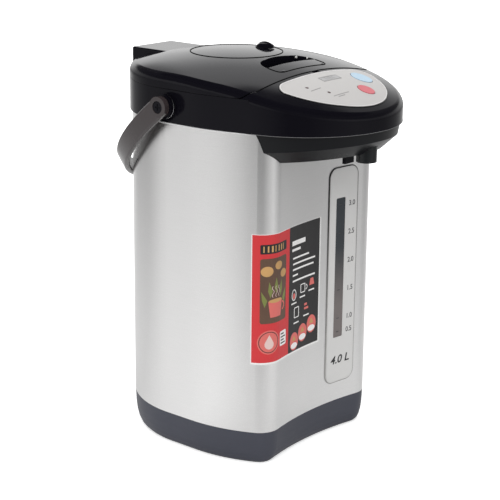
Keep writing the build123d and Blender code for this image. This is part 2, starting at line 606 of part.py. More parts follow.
def build_lid():
    lid = head_form() & box(-130, 130, LID_FRONT_Y, 130, LID_Z + 0.3, 400)
    hollow = slab(head_outline(HEAD_PROUD - SKIN_IN), LID_Z - 1, DOME_TOP) & ball(-ROOF_T)
    lid -= hollow & half_space(LID_FRONT_Y + WALL, 130)
    lid += (rod(0, 0, 314.0, DOME_TOP, PLATE_R + PLATE_GAP + 2.0)
            + slab(recess_face(1.5), POCKET_Z - 1.5, DOME_TOP)
            + [rod(x, y, PAN_Z[0] + 1.5, DOME_TOP, 3.5) for x, y in LID_POSTS]) & ball(-1)
    lid -= rod(0, 0, 310, DOME_TOP + 5, PLATE_R + PLATE_GAP)
    lid -= slab(recess_face(), POCKET_Z, DOME_TOP + 5)
    lid -= box(-4.1, 4.1, -90, RECESS_Y[0] + 1, BOLT_Z[0] - 1.9, BOLT_Z[1] + 0.4)
    lid -= seam_corner(SEAM_R, SEAM_X)
    lid -= cross_rod(-RECESS_HALF - 1, RECESS_HALF + 1, *LEVER_AXIS, LEVER_PIN_R)
    lid -= box(-BLOCK_HALF - 0.3, BLOCK_HALF + 0.3, BLOCK_Y[0], 130, LID_Z, DOME_TOP + 5)
    lid -= [rod(x, y, PAN_Z[0], PAN_Z[0] + 12, 1.5) for x, y in LID_POSTS]
    keep("lid_cover", lid)

    block = box(-BLOCK_HALF, BLOCK_HALF, *BLOCK_Y, LID_Z + 0.3, BLOCK_TOP)
    block = fillet(block.edges().filter_by(Axis.Z).group_by(Axis.Y)[-1], 3.0)
    block = fillet(block.faces().sort_by(Axis.Z)[-1].edges().filter_by(lambda e: e.center().Y > 61), 1.5)
    block -= box(-15.8, 15.8, 70.0, 120, LID_Z - 1, 323.0)
    block -= box(-19.5, 19.5, 63.0, 88.0, LID_Z - 1, 329.0)
    block -= cross_rod(-21.6, 21.6, HINGE_Y, HINGE_Z, HINGE_PIN_R + RUN_GAP)
    keep("hinge_cover", block)

    z0, z1, z2 = PAN_Z
    pan = rod(0, 0, z0, z1 + 0.1, PAN_R) + rod(0, 0, z1, z2, 83.0) - rod(0, 0, z0 + 1.5, z2 + 1, PAN_R - 1.5)
    pan += rod(0, 0, z0 + 1, z0 + 4, 6.0)
    pan -= rod(0, 0, z0 - 1, z0 + 5, 3.0)
    pan -= [rod(x, y, z0 - 1, z0 + 2, 1.8) for x, y in LID_POSTS]
    pan -= [rod(18 * cos(radians(a)) - 40, 18 * sin(radians(a)) * 0.5, z0 - 1, z0 + 2, 2.0) for a in (0, 120, 240)]
    keep("lid_inner", pan)
    keep("lid_gasket", tube(0, 0, TANK_TOP + 0.35, z1, 82.5, PAN_R + 0.6))
    screws = [rod(x, y, z0 - 1.8, z0, 3.2) + rod(x, y, z0 - 0.1, z0 + 10, 1.45) for x, y in LID_POSTS]
    keep("lid_screws", Compound(children=screws))


def build_pump_plate():
    plate = rod(0, 0, 322.0, DOME_TOP, PLATE_R) & ball(0)
    plate -= rod(0, 0, 300, 332.5, PLATE_R - 2.5)
    plate += rod(0, 0, 327.0, 333.0, 8.0)
    plate -= rod(*KNOB_AT, 320, 345, 3.0 + RUN_GAP) + rod(*KNOB_AT, KNOB_BASE - 0.2, 345, KNOB_R + 0.6)
    keep("pump_plate", plate)

    crown = KNOB_TOP - KNOB_BASE
    upper = box(-9, 9, -9, 9, 0, 9)
    cap = scale(Sphere(KNOB_R) & upper, (1, 1, (crown - RIB_PROUD) / KNOB_R))
    rib = scale(cross_rod(-0.9, 0.9, 0, 0, KNOB_R) & upper, (1, 1, crown / KNOB_R))
    knob = Pos(*KNOB_AT, KNOB_BASE) * (cap + rib)
    knob += rod(*KNOB_AT, 329.5, KNOB_BASE + 1, 3.0)
    knob += rod(*KNOB_AT, 329.5, 331.5, 4.0)
    keep("lock_knob", knob)

    floor, under = PAN_Z[0] + 1.5, 332.5
    keep("bellows", bellows(floor, under, 34.2, 36.6, 7))
    keep("pump_spring", coil_spring(floor, under, 12.5, 1.0))


def bellows(z0, z1, r_in, r_out, folds):
    """Pleated rubber tube."""
    step = (z1 - z0) / folds
    outer = [(r_in, z0)]
    for i in range(folds):
        outer += [(r_out, z0 + (i + 0.5) * step), (r_in, z0 + (i + 1) * step)]
    inner = [(r - 1.4, z) for r, z in reversed(outer)]
    with BuildPart() as sleeve:
        with BuildSketch(Plane.XZ):
            with BuildLine():
                Polyline(*outer, *inner, close=True)
            make_face()
        revolve(axis=Axis.Z)
    return sleeve.part


def coil_spring(z0, z1, r, wire, turns=5.5):
    """Compression spring."""
    path = Pos(0, 0, z0 + wire) * Helix((z1 - z0 - 2 * wire) / turns, z1 - z0 - 2 * wire, r)
    start = Plane(origin=path @ 0, z_dir=path % 0)
    return sweep(start * Circle(wire), path=path, is_frenet=True)


def build_release():
    y, z = LEVER_AXIS
    leaf = slab(recess_face(-0.9), 300, DOME_TOP) & half_space(-100, LEVER_BACK_Y)
    leaf &= ball(0) - ball(-2.0)
    arm = box(-5, 5, y - 2, y + 2, BOLT_Z[0] + 0.4, z + 1.5)
    barrels = both(cross_rod(18, 27, y, z, 2.3))
    lever = leaf - both(cross_rod(5.5, 17.5, y, z, 2.15)) + arm + barrels
    lever -= cross_rod(-40, 40, y, z, LEVER_PIN_R + RUN_GAP)
    keep("release_lever", lever)
    keep("lever_pin", cross_rod(-RECESS_HALF - 0.9, RECESS_HALF + 0.9, y, z, LEVER_PIN_R))
    coil = Pos(7, y, z) * Rot(0, 90, 0) * coil_spring(0, 9, 1.6, 0.25, 7)
    keep("lever_springs", Compound(children=both(coil)))

    z0, z1 = BOLT_Z
    bolt = box(-3.6, 3.6, BEAK_Y - 1.6, y - 2.9, z0, z1)
    bolt += box(-3.6, 3.6, y + 2.9, y + 5.0, z0, z1)
    bolt += box(-3.6, 3.6, y - 4, y + 5.0, z0 - 1.6, z0)
    keep("latch_bolt", bolt)
    y_plate = BEAK_Y - WALL
    keeper = box(-14, 14, y_plate - 1.4, y_plate, 306.5, BOLT_Z[0] - 0.8)
    keeper += both(box(5, 8, y_plate - 1.4, y_plate, 306.5, BOLT_Z[1]))
    keep("latch_keeper", keeper)


# ---------------------------------------------------------------- carrying handle
def hoop_face(grow):
    """The bail filled in: straight arms, then a half ellipse."""
    w, reach = ARM_IN + grow, GRIP_REACH + grow - ARM_STRAIGHT
    bow = Ellipse(w, reach) & Pos(0, reach / 2) * Rectangle(3 * w, reach)
    return Pos(0, ARM_STRAIGHT) * bow + Pos(0, ARM_STRAIGHT / 2) * Rectangle(2 * w, ARM_STRAIGHT)


def build_handle():
    store = Pos(0, PIVOT_Y, PIVOT_Z) * Rot(-HANDLE_TILT, 0, 0)
    w_out = ARM_IN + ARM_T
    seat = w_out - 2.0
    bail = slab(hoop_face(ARM_T), -ARM_W / 2, ARM_W / 2)
    bail -= slab(hoop_face(0) + Pos(0, -5) * Rectangle(2 * ARM_IN, 12), -20, 20)
    bail = fillet(bail.edges().filter_by(lambda e: e.length > 150), 2.0)
    bail += both(cross_rod(ARM_IN, w_out, 0, 0, ARM_W / 2))
    bail -= both(cross_rod(ARM_IN - 5, w_out + 5, 0, 0, PIN_R + RUN_GAP))
    bail -= both(cross_rod(seat, w_out + 5, 0, 0, PIN_HEAD_R + 0.3))
    keep("handle", store * bail - slab(body_outline(0.6), 180, 260))

    boss = cross_rod(80, ARM_IN - 0.35, PIVOT_Y, PIVOT_Z, BOSS_R) - cross_rod(70, 110, PIVOT_Y, PIVOT_Z, PIN_R)
    for x in (93.4, 95.9):
        groove = cross_rod(x, x + 1.1, PIVOT_Y, PIVOT_Z, BOSS_R + 1)
        boss -= groove - cross_rod(x, x + 1.1, PIVOT_Y, PIVOT_Z, BOSS_R - 0.9)
    boss -= slab(head_outline(HEAD_PROUD), 280, 320)
    keep("handle_bosses", Compound(children=both(boss)))
    pin = cross_rod(87.0, seat + 0.5, PIVOT_Y, PIVOT_Z, PIN_R)
    pin += cross_rod(seat + 0.15, w_out - 0.4, PIVOT_Y, PIVOT_Z, PIN_HEAD_R)
    slot = box(w_out - 1.2, w_out, -2.6, 2.6, -0.5, 0.5) + box(w_out - 1.2, w_out, -0.5, 0.5, -2.6, 2.6)
    keep("handle_pins", Compound(children=both(pin - Pos(0, PIVOT_Y, PIVOT_Z) * slot)))


for build in (build_base, build_shell, build_inlet, build_tank, build_pump, build_electrics, build_head,
              build_panel, build_chin, build_spout, build_lid, build_pump_plate, build_release, build_handle):
    build()

os.makedirs("parts", exist_ok=True)
for name, shape in PARTS.items():
    export_step(shape, f"parts/{name}.step")
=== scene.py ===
"""Looks of the electric thermo pot: finishes, printed parts, small trims, camera and studio."""
import json
from bisect import bisect_right
from math import atan2, ceil, cos, hypot, pi, radians, sin, sqrt

import bmesh
import bpy
from mathutils import Matrix, Vector
from mathutils.bvhtree import BVHTree


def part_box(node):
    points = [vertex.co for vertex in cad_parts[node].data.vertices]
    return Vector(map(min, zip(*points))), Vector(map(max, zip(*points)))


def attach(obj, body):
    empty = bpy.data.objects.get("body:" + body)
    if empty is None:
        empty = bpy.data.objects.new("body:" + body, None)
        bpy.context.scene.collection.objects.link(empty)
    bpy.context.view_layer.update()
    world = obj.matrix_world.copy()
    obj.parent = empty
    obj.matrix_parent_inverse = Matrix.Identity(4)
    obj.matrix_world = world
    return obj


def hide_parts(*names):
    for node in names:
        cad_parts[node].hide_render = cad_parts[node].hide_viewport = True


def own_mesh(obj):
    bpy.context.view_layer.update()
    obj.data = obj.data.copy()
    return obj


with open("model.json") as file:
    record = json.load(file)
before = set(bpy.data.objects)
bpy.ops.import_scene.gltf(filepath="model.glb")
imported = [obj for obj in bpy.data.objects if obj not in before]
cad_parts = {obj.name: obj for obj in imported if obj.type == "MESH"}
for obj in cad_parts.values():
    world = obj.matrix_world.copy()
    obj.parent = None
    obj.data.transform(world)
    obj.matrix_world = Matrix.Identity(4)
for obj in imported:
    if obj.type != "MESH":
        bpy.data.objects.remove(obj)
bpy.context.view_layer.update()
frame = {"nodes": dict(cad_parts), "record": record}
scene = bpy.context.scene

MM = 0.001
BLACK, WHITE = (0, 0, 0, 1), (1, 1, 1, 1)
SLOT_OF = {row["node"]: row["material_slot"] for row in frame["record"]["subparts"]}


def add_object(name, data):
    obj = bpy.data.objects.new(name, data)
    scene.collection.objects.link(obj)
    return obj


# ---------------------------------------------------------------- camera
EYE = Vector((-0.9881, -0.8452, 0.5316))
AZIMUTH, ELEVATION, ROLL = radians(-50.04), radians(16.04), radians(-0.56)
LENS, SENSOR = 109.04, 36.0
CLIP = (0.05, 80.0)


def make_camera():
    back = Vector((sin(AZIMUTH) * cos(ELEVATION), -cos(AZIMUTH) * cos(ELEVATION), sin(ELEVATION)))
    right = Vector((cos(AZIMUTH), sin(AZIMUTH), 0.0))
    up = back.cross(right)
    rows = [right * cos(ROLL) - up * sin(ROLL), right * sin(ROLL) + up * cos(ROLL), back]
    data = bpy.data.cameras.new("camera")
    data.lens, data.sensor_width = LENS, SENSOR
    data.clip_start, data.clip_end = CLIP
    camera = add_object("camera", data)
    camera.matrix_world = Matrix.Translation(EYE) @ Matrix(rows).transposed().to_4x4()
    scene.camera = camera
    scene.view_settings.view_transform = "Standard"


# ---------------------------------------------------------------- nodes
def fill_in(tree, node, values):
    """Set or link a node's inputs, given by name or by number."""
    for key, value in values.items():
        if isinstance(value, bpy.types.NodeSocket):
            tree.links.new(value, node.inputs[key])
        else:
            node.inputs[key].default_value = value


def add_node(tree, kind, values=None, **settings):
    made = tree.nodes.new(kind)
    for key, value in settings.items():
        setattr(made, key, value)
    fill_in(tree, made, values or {})
    return made


def mix(tree, factor, a, b, blend="MIX"):
    """Colour between a and b; a colour mix has them at inputs 6 and 7."""
    values = {0: factor, 6: a, 7: b}
    return add_node(tree, "ShaderNodeMix", values, data_type="RGBA", blend_type=blend).outputs[2]


class Look:
    """A node material around one Principled shader."""

    def __init__(self, name, colour, rough, metallic=0.0, spec=0.5):
        self.mat = bpy.data.materials.new(name)
        self.mat.use_nodes = True
        self.tree = self.mat.node_tree
        self.bsdf = self.tree.nodes["Principled BSDF"]
        self.surface(Base_Color=(*colour, 1.0), Roughness=rough, Metallic=metallic,
                     Specular_IOR_Level=spec)

    def node(self, kind, values=None, **settings):
        return add_node(self.tree, kind, values, **settings)

    def mix(self, factor, a, b):
        return mix(self.tree, factor, a, b)

    def coords(self, stretch=(1, 1, 1)):
        place = self.node("ShaderNodeTexCoord").outputs["Object"]
        return self.node("ShaderNodeMapping", {"Vector": place, "Scale": stretch}).outputs[0]

    def height(self):
        """Height over the table, in metres."""
        return self.node("ShaderNodeSeparateXYZ", {"Vector": self.coords()}).outputs["Z"]

    def noise(self, scale, detail=3.0, stretch=(1, 1, 1), rough=0.55):
        values = {"Vector": self.coords(stretch), "Scale": scale, "Detail": detail,
                  "Roughness": rough}
        return self.node("ShaderNodeTexNoise", values).outputs["Fac"]

    def ramp(self, factor, low, high, start=0.3, end=0.7):
        """From low to high as the factor goes from start to end."""
        values = {"Value": factor, "From Min": start, "From Max": end, "To Min": low,
                  "To Max": high}
        return self.node("ShaderNodeMapRange", values, clamp=True).outputs[0]

    def bump(self, height, strength, distance, normal=None):
        values = {"Height": height, "Strength": strength, "Distance": distance}
        if normal:
            values["Normal"] = normal
        return self.node("ShaderNodeBump", values).outputs[0]

    def soften(self, radius):
        """Normal that rounds the edges."""
        return self.node("ShaderNodeBevel", {"Radius": radius}, samples=4).outputs[0]

    def surface(self, **values):
        """Inputs of the shader, with _ for a space in their names."""
        names = {key.replace("_", " "): value for key, value in values.items()}
        fill_in(self.tree, self.bsdf, names)
        return self.mat


# ---------------------------------------------------------------- materials
GRAIN, HAIRLINE, POLISH = 0.04 * MM, 0.02 * MM, 0.01 * MM      # depths of fine relief
STRIP_FADE = (0.172, 0.118)      # heights between which the gauge's window pales downwards
GROOVE_SHADE_FADE = (0.20, 0.08)         # and the painted groove shade around the gauge


def shade(colour, factor):
    return [min(1.0, c * factor) for c in colour] + [1.0]


def plastic(name, colour, rough, spec=0.5, grain=900.0, depth=GRAIN, vary=0.06, edge=0.4 * MM):
    """Moulded plastic: fine grain, slight unevenness of colour and gloss, softened edges."""
    look = Look(name, colour, rough, spec=spec)
    fine, broad = look.noise(grain, 2.0), look.noise(28.0, 4.0)
    tone = look.mix(broad, shade(colour, 1 - vary), shade(colour, 1 + vary))
    normal = look.bump(fine, 0.25, depth, look.soften(edge) if edge else None)
    gloss = look.ramp(broad, rough - 0.03, rough + 0.05)
    return look.surface(Base_Color=tone, Roughness=gloss, Normal=normal)


def ink(name, colour, vary=0.05):
    """Printed ink, with the faint mottling of a screen print."""
    return plastic(name, colour, 0.45, 0.35, grain=1400.0, depth=POLISH, vary=vary, edge=None)


def metal(name, colour, rough, stretch=(1, 1, 1), scale=600.0):
    """Metal with fine hairlines, along one direction where they are stretched."""
    look = Look(name, colour, rough, metallic=1.0)
    hair, broad = look.noise(scale, 3.0, stretch, 0.7), look.noise(12.0, 3.0)
    tone = look.mix(hair, shade(colour, 0.93), shade(colour, 1.05))
    gloss = look.ramp(broad, rough - 0.04, rough + 0.04)
    return look.surface(Base_Color=tone, Roughness=gloss, Normal=look.bump(hair, 0.3, HAIRLINE))


def brushed_steel():
    """Outer shell: horizontal hairlines, a fine sparkle, and a satin sheen stretched upwards."""
    colour = (0.82, 0.815, 0.81)
    look = Look("brushed_steel", colour, 0.3, metallic=1.0)
    hair = look.noise(60.0, 4.0, (1, 1, 45), 0.75)
    sparkle = look.noise(1500.0, 1.0)
    clouds = look.noise(9.0, 3.0, (1, 1, 0.4))
    tone = look.mix(hair, shade(colour, 0.94), shade(colour, 1.05))
    tone = look.mix(look.ramp(sparkle, 0.0, 0.22, 0.5, 0.7), tone, shade(colour, 1.3))
    normal = look.bump(sparkle, 0.22, 0.03 * MM, look.bump(hair, 0.25, HAIRLINE))
    tangent = look.node("ShaderNodeTangent", direction_type="RADIAL", axis="Z").outputs[0]
    return look.surface(Base_Color=tone, Roughness=look.ramp(clouds, 0.27, 0.32), Normal=normal,
                        Tangent=tangent, Anisotropic=0.8, Anisotropic_Rotation=0.25)


def gauge_strip():
    """Tinted window over the level tube: dark above, paler downwards between two heights."""
    look = Look("gauge_strip", (0.05, 0.05, 0.05), 0.22, spec=0.4)
    level = look.ramp(look.height(), 0.0, 1.0, *STRIP_FADE)
    plain = look.mix(level, (0.034, 0.042, 0.05, 1), (0.165, 0.145, 0.14, 1))
    mottled = look.mix(level, (0.028, 0.034, 0.04, 1), (0.19, 0.165, 0.16, 1))
    tone = look.mix(look.noise(160.0, 3.0), plain, mottled)
    normal = look.bump(look.noise(500.0), 0.1, GRAIN, look.soften(0.3 * MM))
    return look.surface(Base_Color=tone, Normal=normal)


def groove_shade_line():
    """Painted shade of the groove around the gauge face: dark at the top, paling downwards where
    the groove's shade is fainter.
    """
    look = Look("groove_shade_line", (0.1, 0.1, 0.1), 0.5, spec=0.3)
    level = look.ramp(look.height(), 0.0, 1.0, *GROOVE_SHADE_FADE)
    tone = look.mix(level, (0.045, 0.045, 0.045, 1), (0.40, 0.395, 0.385, 1))
    return look.surface(Base_Color=tone, Normal=look.bump(look.noise(900.0), 0.2, GRAIN))


METALS = {
    "tank_steel": ((0.66, 0.66, 0.67), 0.30, (1, 1, 12), 60.0),
    "screw_steel": ((0.62, 0.62, 0.64), 0.25),
    "motor_steel": ((0.5, 0.5, 0.52), 0.4),
    "aluminium": ((0.74, 0.74, 0.75), 0.45),
    "brass_pins": ((0.8, 0.62, 0.3), 0.3),
    "mica_band": ((0.5, 0.42, 0.3), 0.5),
}
PLASTICS = {
    "base_plastic": dict(colour=(0.064, 0.067, 0.086), rough=0.42, spec=0.22),
    "black_plastic": dict(colour=(0.0052, 0.0048, 0.0076), rough=0.08, spec=0.13, depth=POLISH),
    "handle_plastic": dict(colour=(0.042, 0.033, 0.034), rough=0.12, spec=0.6, depth=POLISH),
    "panel_plastic": dict(colour=(0.58, 0.565, 0.555), rough=0.4, spec=0.25, depth=POLISH,
                          vary=0.02),
    "gauge_plastic": dict(colour=(0.70, 0.695, 0.685), rough=0.35, spec=0.3, vary=0.02),
    "grey_plastic": dict(colour=(0.012, 0.014, 0.015), rough=0.22, spec=0.3),
    "white_plastic": dict(colour=(0.72, 0.72, 0.69), rough=0.4),
    "clear_window": dict(colour=(0.05, 0.055, 0.06), rough=0.08),
    "dark_window": dict(colour=(0.43, 0.425, 0.43), rough=0.25, spec=0.3, vary=0.03),
    "red_button": dict(colour=(0.70, 0.16, 0.19), rough=0.35, spec=0.3),
    "blue_button": dict(colour=(0.47, 0.65, 0.80), rough=0.35, spec=0.3),
    "red_lamp": dict(colour=(0.12, 0.08, 0.08), rough=0.15),
    "dark_part": dict(colour=(0.02, 0.02, 0.02), rough=0.5),
    "silicone": dict(colour=(0.66, 0.66, 0.63), rough=0.5),
    "rubber": dict(colour=(0.02, 0.02, 0.02), rough=0.7, spec=0.3),
    "sleeve_white": dict(colour=(0.7, 0.67, 0.6), rough=0.8),
    "circuit_board": dict(colour=(0.03, 0.13, 0.05), rough=0.4),
}
LOOKS = {"brushed_steel": brushed_steel()}
LOOKS.update({slot: metal(slot, *values) for slot, values in METALS.items()})
LOOKS.update({slot: plastic(slot, **values) for slot, values in PLASTICS.items()})
# the chin is satin, where the rest of the black head is polished
OWN_LOOKS = {"chin_cover": plastic("chin_plastic", (0.0055, 0.006, 0.0075), 0.3, 0.17,
                                   depth=POLISH)}


def dress_nodes():
    for name, obj in frame["nodes"].items():
        obj.data.materials.clear()
        obj.data.materials.append(OWN_LOOKS.get(name) or LOOKS[SLOT_OF[name]])


# ---------------------------------------------------------------- outlines, in millimetres
def arc(x, y, r, start, end, n):
    """Points on a circle from one angle to another, in degrees."""
    turns = [radians(start + (end - start) * i / n) for i in range(n + 1)]
    return [(x + r * cos(a), y + r * sin(a)) for a in turns]


def arc_through(a, m, b, n=10):
    """Points from a towards b, without b, on the circle through a, m and b."""
    (ax, ay), (mx, my), (bx, by) = a, m, b
    d = 2 * (ax * (my - by) + mx * (by - ay) + bx * (ay - my))
    sa, sm, sb = ax * ax + ay * ay, mx * mx + my * my, bx * bx + by * by
    cx = (sa * (my - by) + sm * (by - ay) + sb * (ay - my)) / d
    cy = (sa * (bx - mx) + sm * (ax - bx) + sb * (mx - ax)) / d
    start, mid, end = (atan2(y - cy, x - cx) for x, y in (a, m, b))
    turn = (end - start) % (2 * pi)
    if (mid - start) % (2 * pi) > turn:
        turn -= 2 * pi
    r = hypot(ax - cx, ay - cy)
    turns = [start + turn * i / n for i in range(n)]
    return [(cx + r * cos(t), cy + r * sin(t)) for t in turns]


def rounded(x0, x1, y0, y1, r, n=8):
    """Rounded rectangle."""
    corners = ((x1 - r, y1 - r, 0), (x0 + r, y1 - r, 90), (x0 + r, y0 + r, 180),
               (x1 - r, y0 + r, 270))
    return [point for x, y, start in corners for point in arc(x, y, r, start, start + 90, n)]


def drop(x, y, r, tip):
    """Water drop around x, y, its tip that far above."""
    return arc(x, y, r, 150, 390, 16) + [(x, y + tip)]


def grown(box, d):
    """Box x0, x1, y0, y1 with each side moved out."""
    return (box[0] - d, box[1] + d, box[2] - d, box[3] + d)


def drawn_in(points, distance):
    """A closed outline moved inwards, whichever way round it goes."""
    n = len(points)
    area = sum(points[i - 1][0] * points[i][1] - points[i][0] * points[i - 1][1]
               for i in range(n))
    side = distance if area > 0 else -distance
    moved = []
    for i, (x, y) in enumerate(points):
        (ax, ay), (bx, by) = points[i - 1], points[(i + 1) % n]
        length = hypot(bx - ax, by - ay)
        moved.append((x - side * (by - ay) / length, y + side * (bx - ax) / length))
    return moved


# ---------------------------------------------------------------- flat art on curved surfaces
SHELL_CUTS, FIGURE_CUTS, DOME_CUTS, NO_CUTS = (2.5, None), (5.0, None), (4.0, 4.0), (None, None)
CAP_HEIGHT = 0.7         # of a figure, as a share of the type's size


def make_object(name, mesh, look, body, slot, smooth=False):
    """Piece of the visual model from a mesh in place, riding on a body."""
    data = bpy.data.meshes.new(name)
    bmesh.ops.recalc_face_normals(mesh, faces=mesh.faces)
    for face in mesh.faces:
        face.smooth = smooth
    mesh.to_mesh(data)
    mesh.free()
    data.materials.append(look)
    obj = add_object(name, data)
    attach(obj, body)
    return obj


class Path:
    """Plan of a node's outside at one height, measured along the surface from the front middle."""
    STEP = 0.5           # degrees between its points
    OUTSIDE = 0.3        # metres from its centre, clear of the object

    def __init__(self, node, height, centre=(0.0, -0.03), reach=130):
        mesh = bmesh.new()
        mesh.from_mesh(frame["nodes"][node].data)
        tree = BVHTree.FromBMesh(mesh)
        mesh.free()
        self.points = []
        for i in range(int(-reach / self.STEP), int(reach / self.STEP) + 1):
            angle = radians(i * self.STEP - 90)
            out = Vector((cos(angle), sin(angle), 0.0))
            start = Vector((*centre, height)) + out * self.OUTSIDE
            self.points.append(tree.ray_cast(start, -out)[0])
        self.along = [0.0]
        for a, b in zip(self.points, self.points[1:]):
            self.along.append(self.along[-1] + (b - a).length)
        middle = self.along[len(self.points) // 2]
        self.along = [s - middle for s in self.along]

    def outward(self, before, after):
        """Direction off the surface between two of its points."""
        tangent = (self.points[after] - self.points[before]).normalized()
        return Vector((tangent.y, -tangent.x, 0.0))

    def place(self, s, z, lift):
        """Point at distance s along the surface, height z, lifted off it."""
        i = max(1, min(len(self.along) - 2, bisect_right(self.along, s)))
        t = (s - self.along[i - 1]) / (self.along[i] - self.along[i - 1])
        p = self.points[i - 1].lerp(self.points[i], t)
        return Vector((p.x, p.y, z)) + self.outward(max(0, i - 2), i + 1) * lift


class Art:
    """Flat shapes in millimetres, turned into thin solids on a surface."""

    def __init__(self):
        self.mesh = bmesh.new()

    def shape(self, points):
        verts = [self.mesh.verts.new((x, y, 0.0)) for x, y in points]
        self.mesh.faces.new(verts)
        return self

    def bar(self, x0, x1, y0, y1):
        return self.shape([(x0, y0), (x1, y0), (x1, y1), (x0, y1)])

    def disc(self, x, y, rx, ry=None, n=36):
        ry = ry or rx
        turns = [2 * pi * i / n for i in range(n)]
        return self.shape([(x + rx * cos(a), y + ry * sin(a)) for a in turns])

    def strip(self, outer, inner):
        """Strip between two open lines with as many points."""
        for i in range(len(outer) - 1):
            self.shape([outer[i], outer[i + 1], inner[i + 1], inner[i]])
        return self

    def band(self, outer, inner):
        """Strip between two closed outlines with as many points."""
        return self.strip(outer + outer[:1], inner + inner[:1])

    def ring(self, x, y, rx, ry, width, n=40, start=0.0, end=360.0):
        """Closed or open ring, width measured inwards."""
        turn = [radians(start + (end - start) * i / n) for i in range(n + 1)]
        return self.strip(*([(x + (rx - w) * cos(a), y + (ry - w) * sin(a)) for a in turn]
                            for w in (0.0, width)))

    def border(self, box, width, outer_r, inner_r):
        """Rounded frame, width measured inwards."""
        return self.band(rounded(*box, outer_r), rounded(*grown(box, -width), inner_r))

    def plate(self, outer, *holes):
        """Outline with holes."""
        edges = []
        for loop in (outer, *holes):
            verts = [self.mesh.verts.new((x, y, 0.0)) for x, y in loop]
            edges += [self.mesh.edges.new((verts[i - 1], verts[i])) for i in range(len(verts))]
        bmesh.ops.triangle_fill(self.mesh, use_beauty=True, edges=edges)
        return self

    def text(self, words, x, y, height, slant=0.0, bold=0.0, stretch=1.0):
        """Plain figures, their middle at x and their foot at y."""
        curve = bpy.data.curves.new("figures", "FONT")
        curve.body = words
        curve.align_x = "CENTER"
        curve.offset = bold
        curve.resolution_u = 3
        holder = add_object("figures", curve)
        bpy.context.view_layer.update()
        flat = bpy.data.meshes.new_from_object(holder)
        size = height / CAP_HEIGHT
        flat.transform(Matrix(((size * stretch, size * slant, 0, x), (0, size, 0, y),
                               (0, 0, 1, 0), (0, 0, 0, 1))))
        self.mesh.from_mesh(flat)
        bpy.data.objects.remove(holder)
        bpy.data.curves.remove(curve)
        bpy.data.meshes.remove(flat)
        return self

    def cut(self, axis, step):
        """Cut the shapes into strips, on one grid for all art, so that layers bend alike."""
        spots = [v.co[axis] for v in self.mesh.verts]
        normal = Vector((axis == 0, axis == 1, 0))
        at = ceil(min(spots) / step + 0.01) * step
        while at < max(spots) - 0.01:
            whole = self.mesh.verts[:] + self.mesh.edges[:] + self.mesh.faces[:]
            bmesh.ops.bisect_plane(self.mesh, geom=whole, plane_co=normal * at, plane_no=normal)
            at += step

    def lay(self, name, place, low, high, look, body="pot", slot="white_plastic",
            cuts=SHELL_CUTS):
        """Make one object of the shapes, from lift low to lift high (mm) over the surface."""
        mesh = self.mesh
        for axis, step in enumerate(cuts):
            if step:
                self.cut(axis, step)
        bmesh.ops.remove_doubles(mesh, verts=mesh.verts, dist=0.002)
        bmesh.ops.triangulate(mesh, faces=mesh.faces)
        pushed = bmesh.ops.extrude_face_region(mesh, geom=mesh.faces[:])["geom"]
        upper = {v for v in pushed if isinstance(v, bmesh.types.BMVert)}
        for vert in mesh.verts:
            lift = high if vert in upper else low
            vert.co = place(vert.co.x * MM, vert.co.y * MM, lift * MM)
        return make_object(name, mesh, look, body, slot)


# ---------------------------------------------------------------- sticker on the near corner
# boxes on the shell: across from the front middle, along the surface, and up from the table
STICKER = (-83.9, 5.3, 91.1, 203.7)
STICKER_SPLIT = -41.0
FILM, LAYER = (0.03, 0.13), 0.05       # lifts of the film's two sides; depth of each ink layer
STICKER_INKS = {                       # colour and unevenness
    "white": ((0.92, 0.91, 0.90),),
    "red": ((0.66, 0.042, 0.048),),
    "coal": ((0.025, 0.024, 0.025),),
    "pale": ((0.80, 0.60, 0.56),),
    "warm": ((0.62, 0.36, 0.14), 0.3),
    "leaf": ((0.22, 0.25, 0.07), 0.3),
    "bark": ((0.13, 0.075, 0.05), 0.35),
    "rose": ((0.74, 0.17, 0.15),),
}


def build_sticker(shell):
    """White film with a red and a dark half, each printed in layers."""
    x0, x1, y0, y1 = STICKER
    inks = {name: ink("sticker_" + name, *values) for name, values in STICKER_INKS.items()}

    def lay(art, name, layer, colour):
        low = FILM[1] + LAYER * (layer - 1)
        art.lay("sticker_" + name, shell.place, low, low + LAYER, inks[colour])

    Art().bar(x0, x1, y0, y1).lay("sticker_film", shell.place, *FILM, inks["white"])
    lay(Art().bar(x0 + 0.7, STICKER_SPLIT, y0 + 1.7, y1 - 0.5), "red_half", 1, "red")
    lay(Art().bar(STICKER_SPLIT, x1 - 1.4, y0 + 1.7, y1 - 0.4), "dark_half", 1, "coal")
    print_left_half(lay, (x0 + STICKER_SPLIT) / 2 + 1.0)
    print_right_half(lay, STICKER_SPLIT + 4.5)


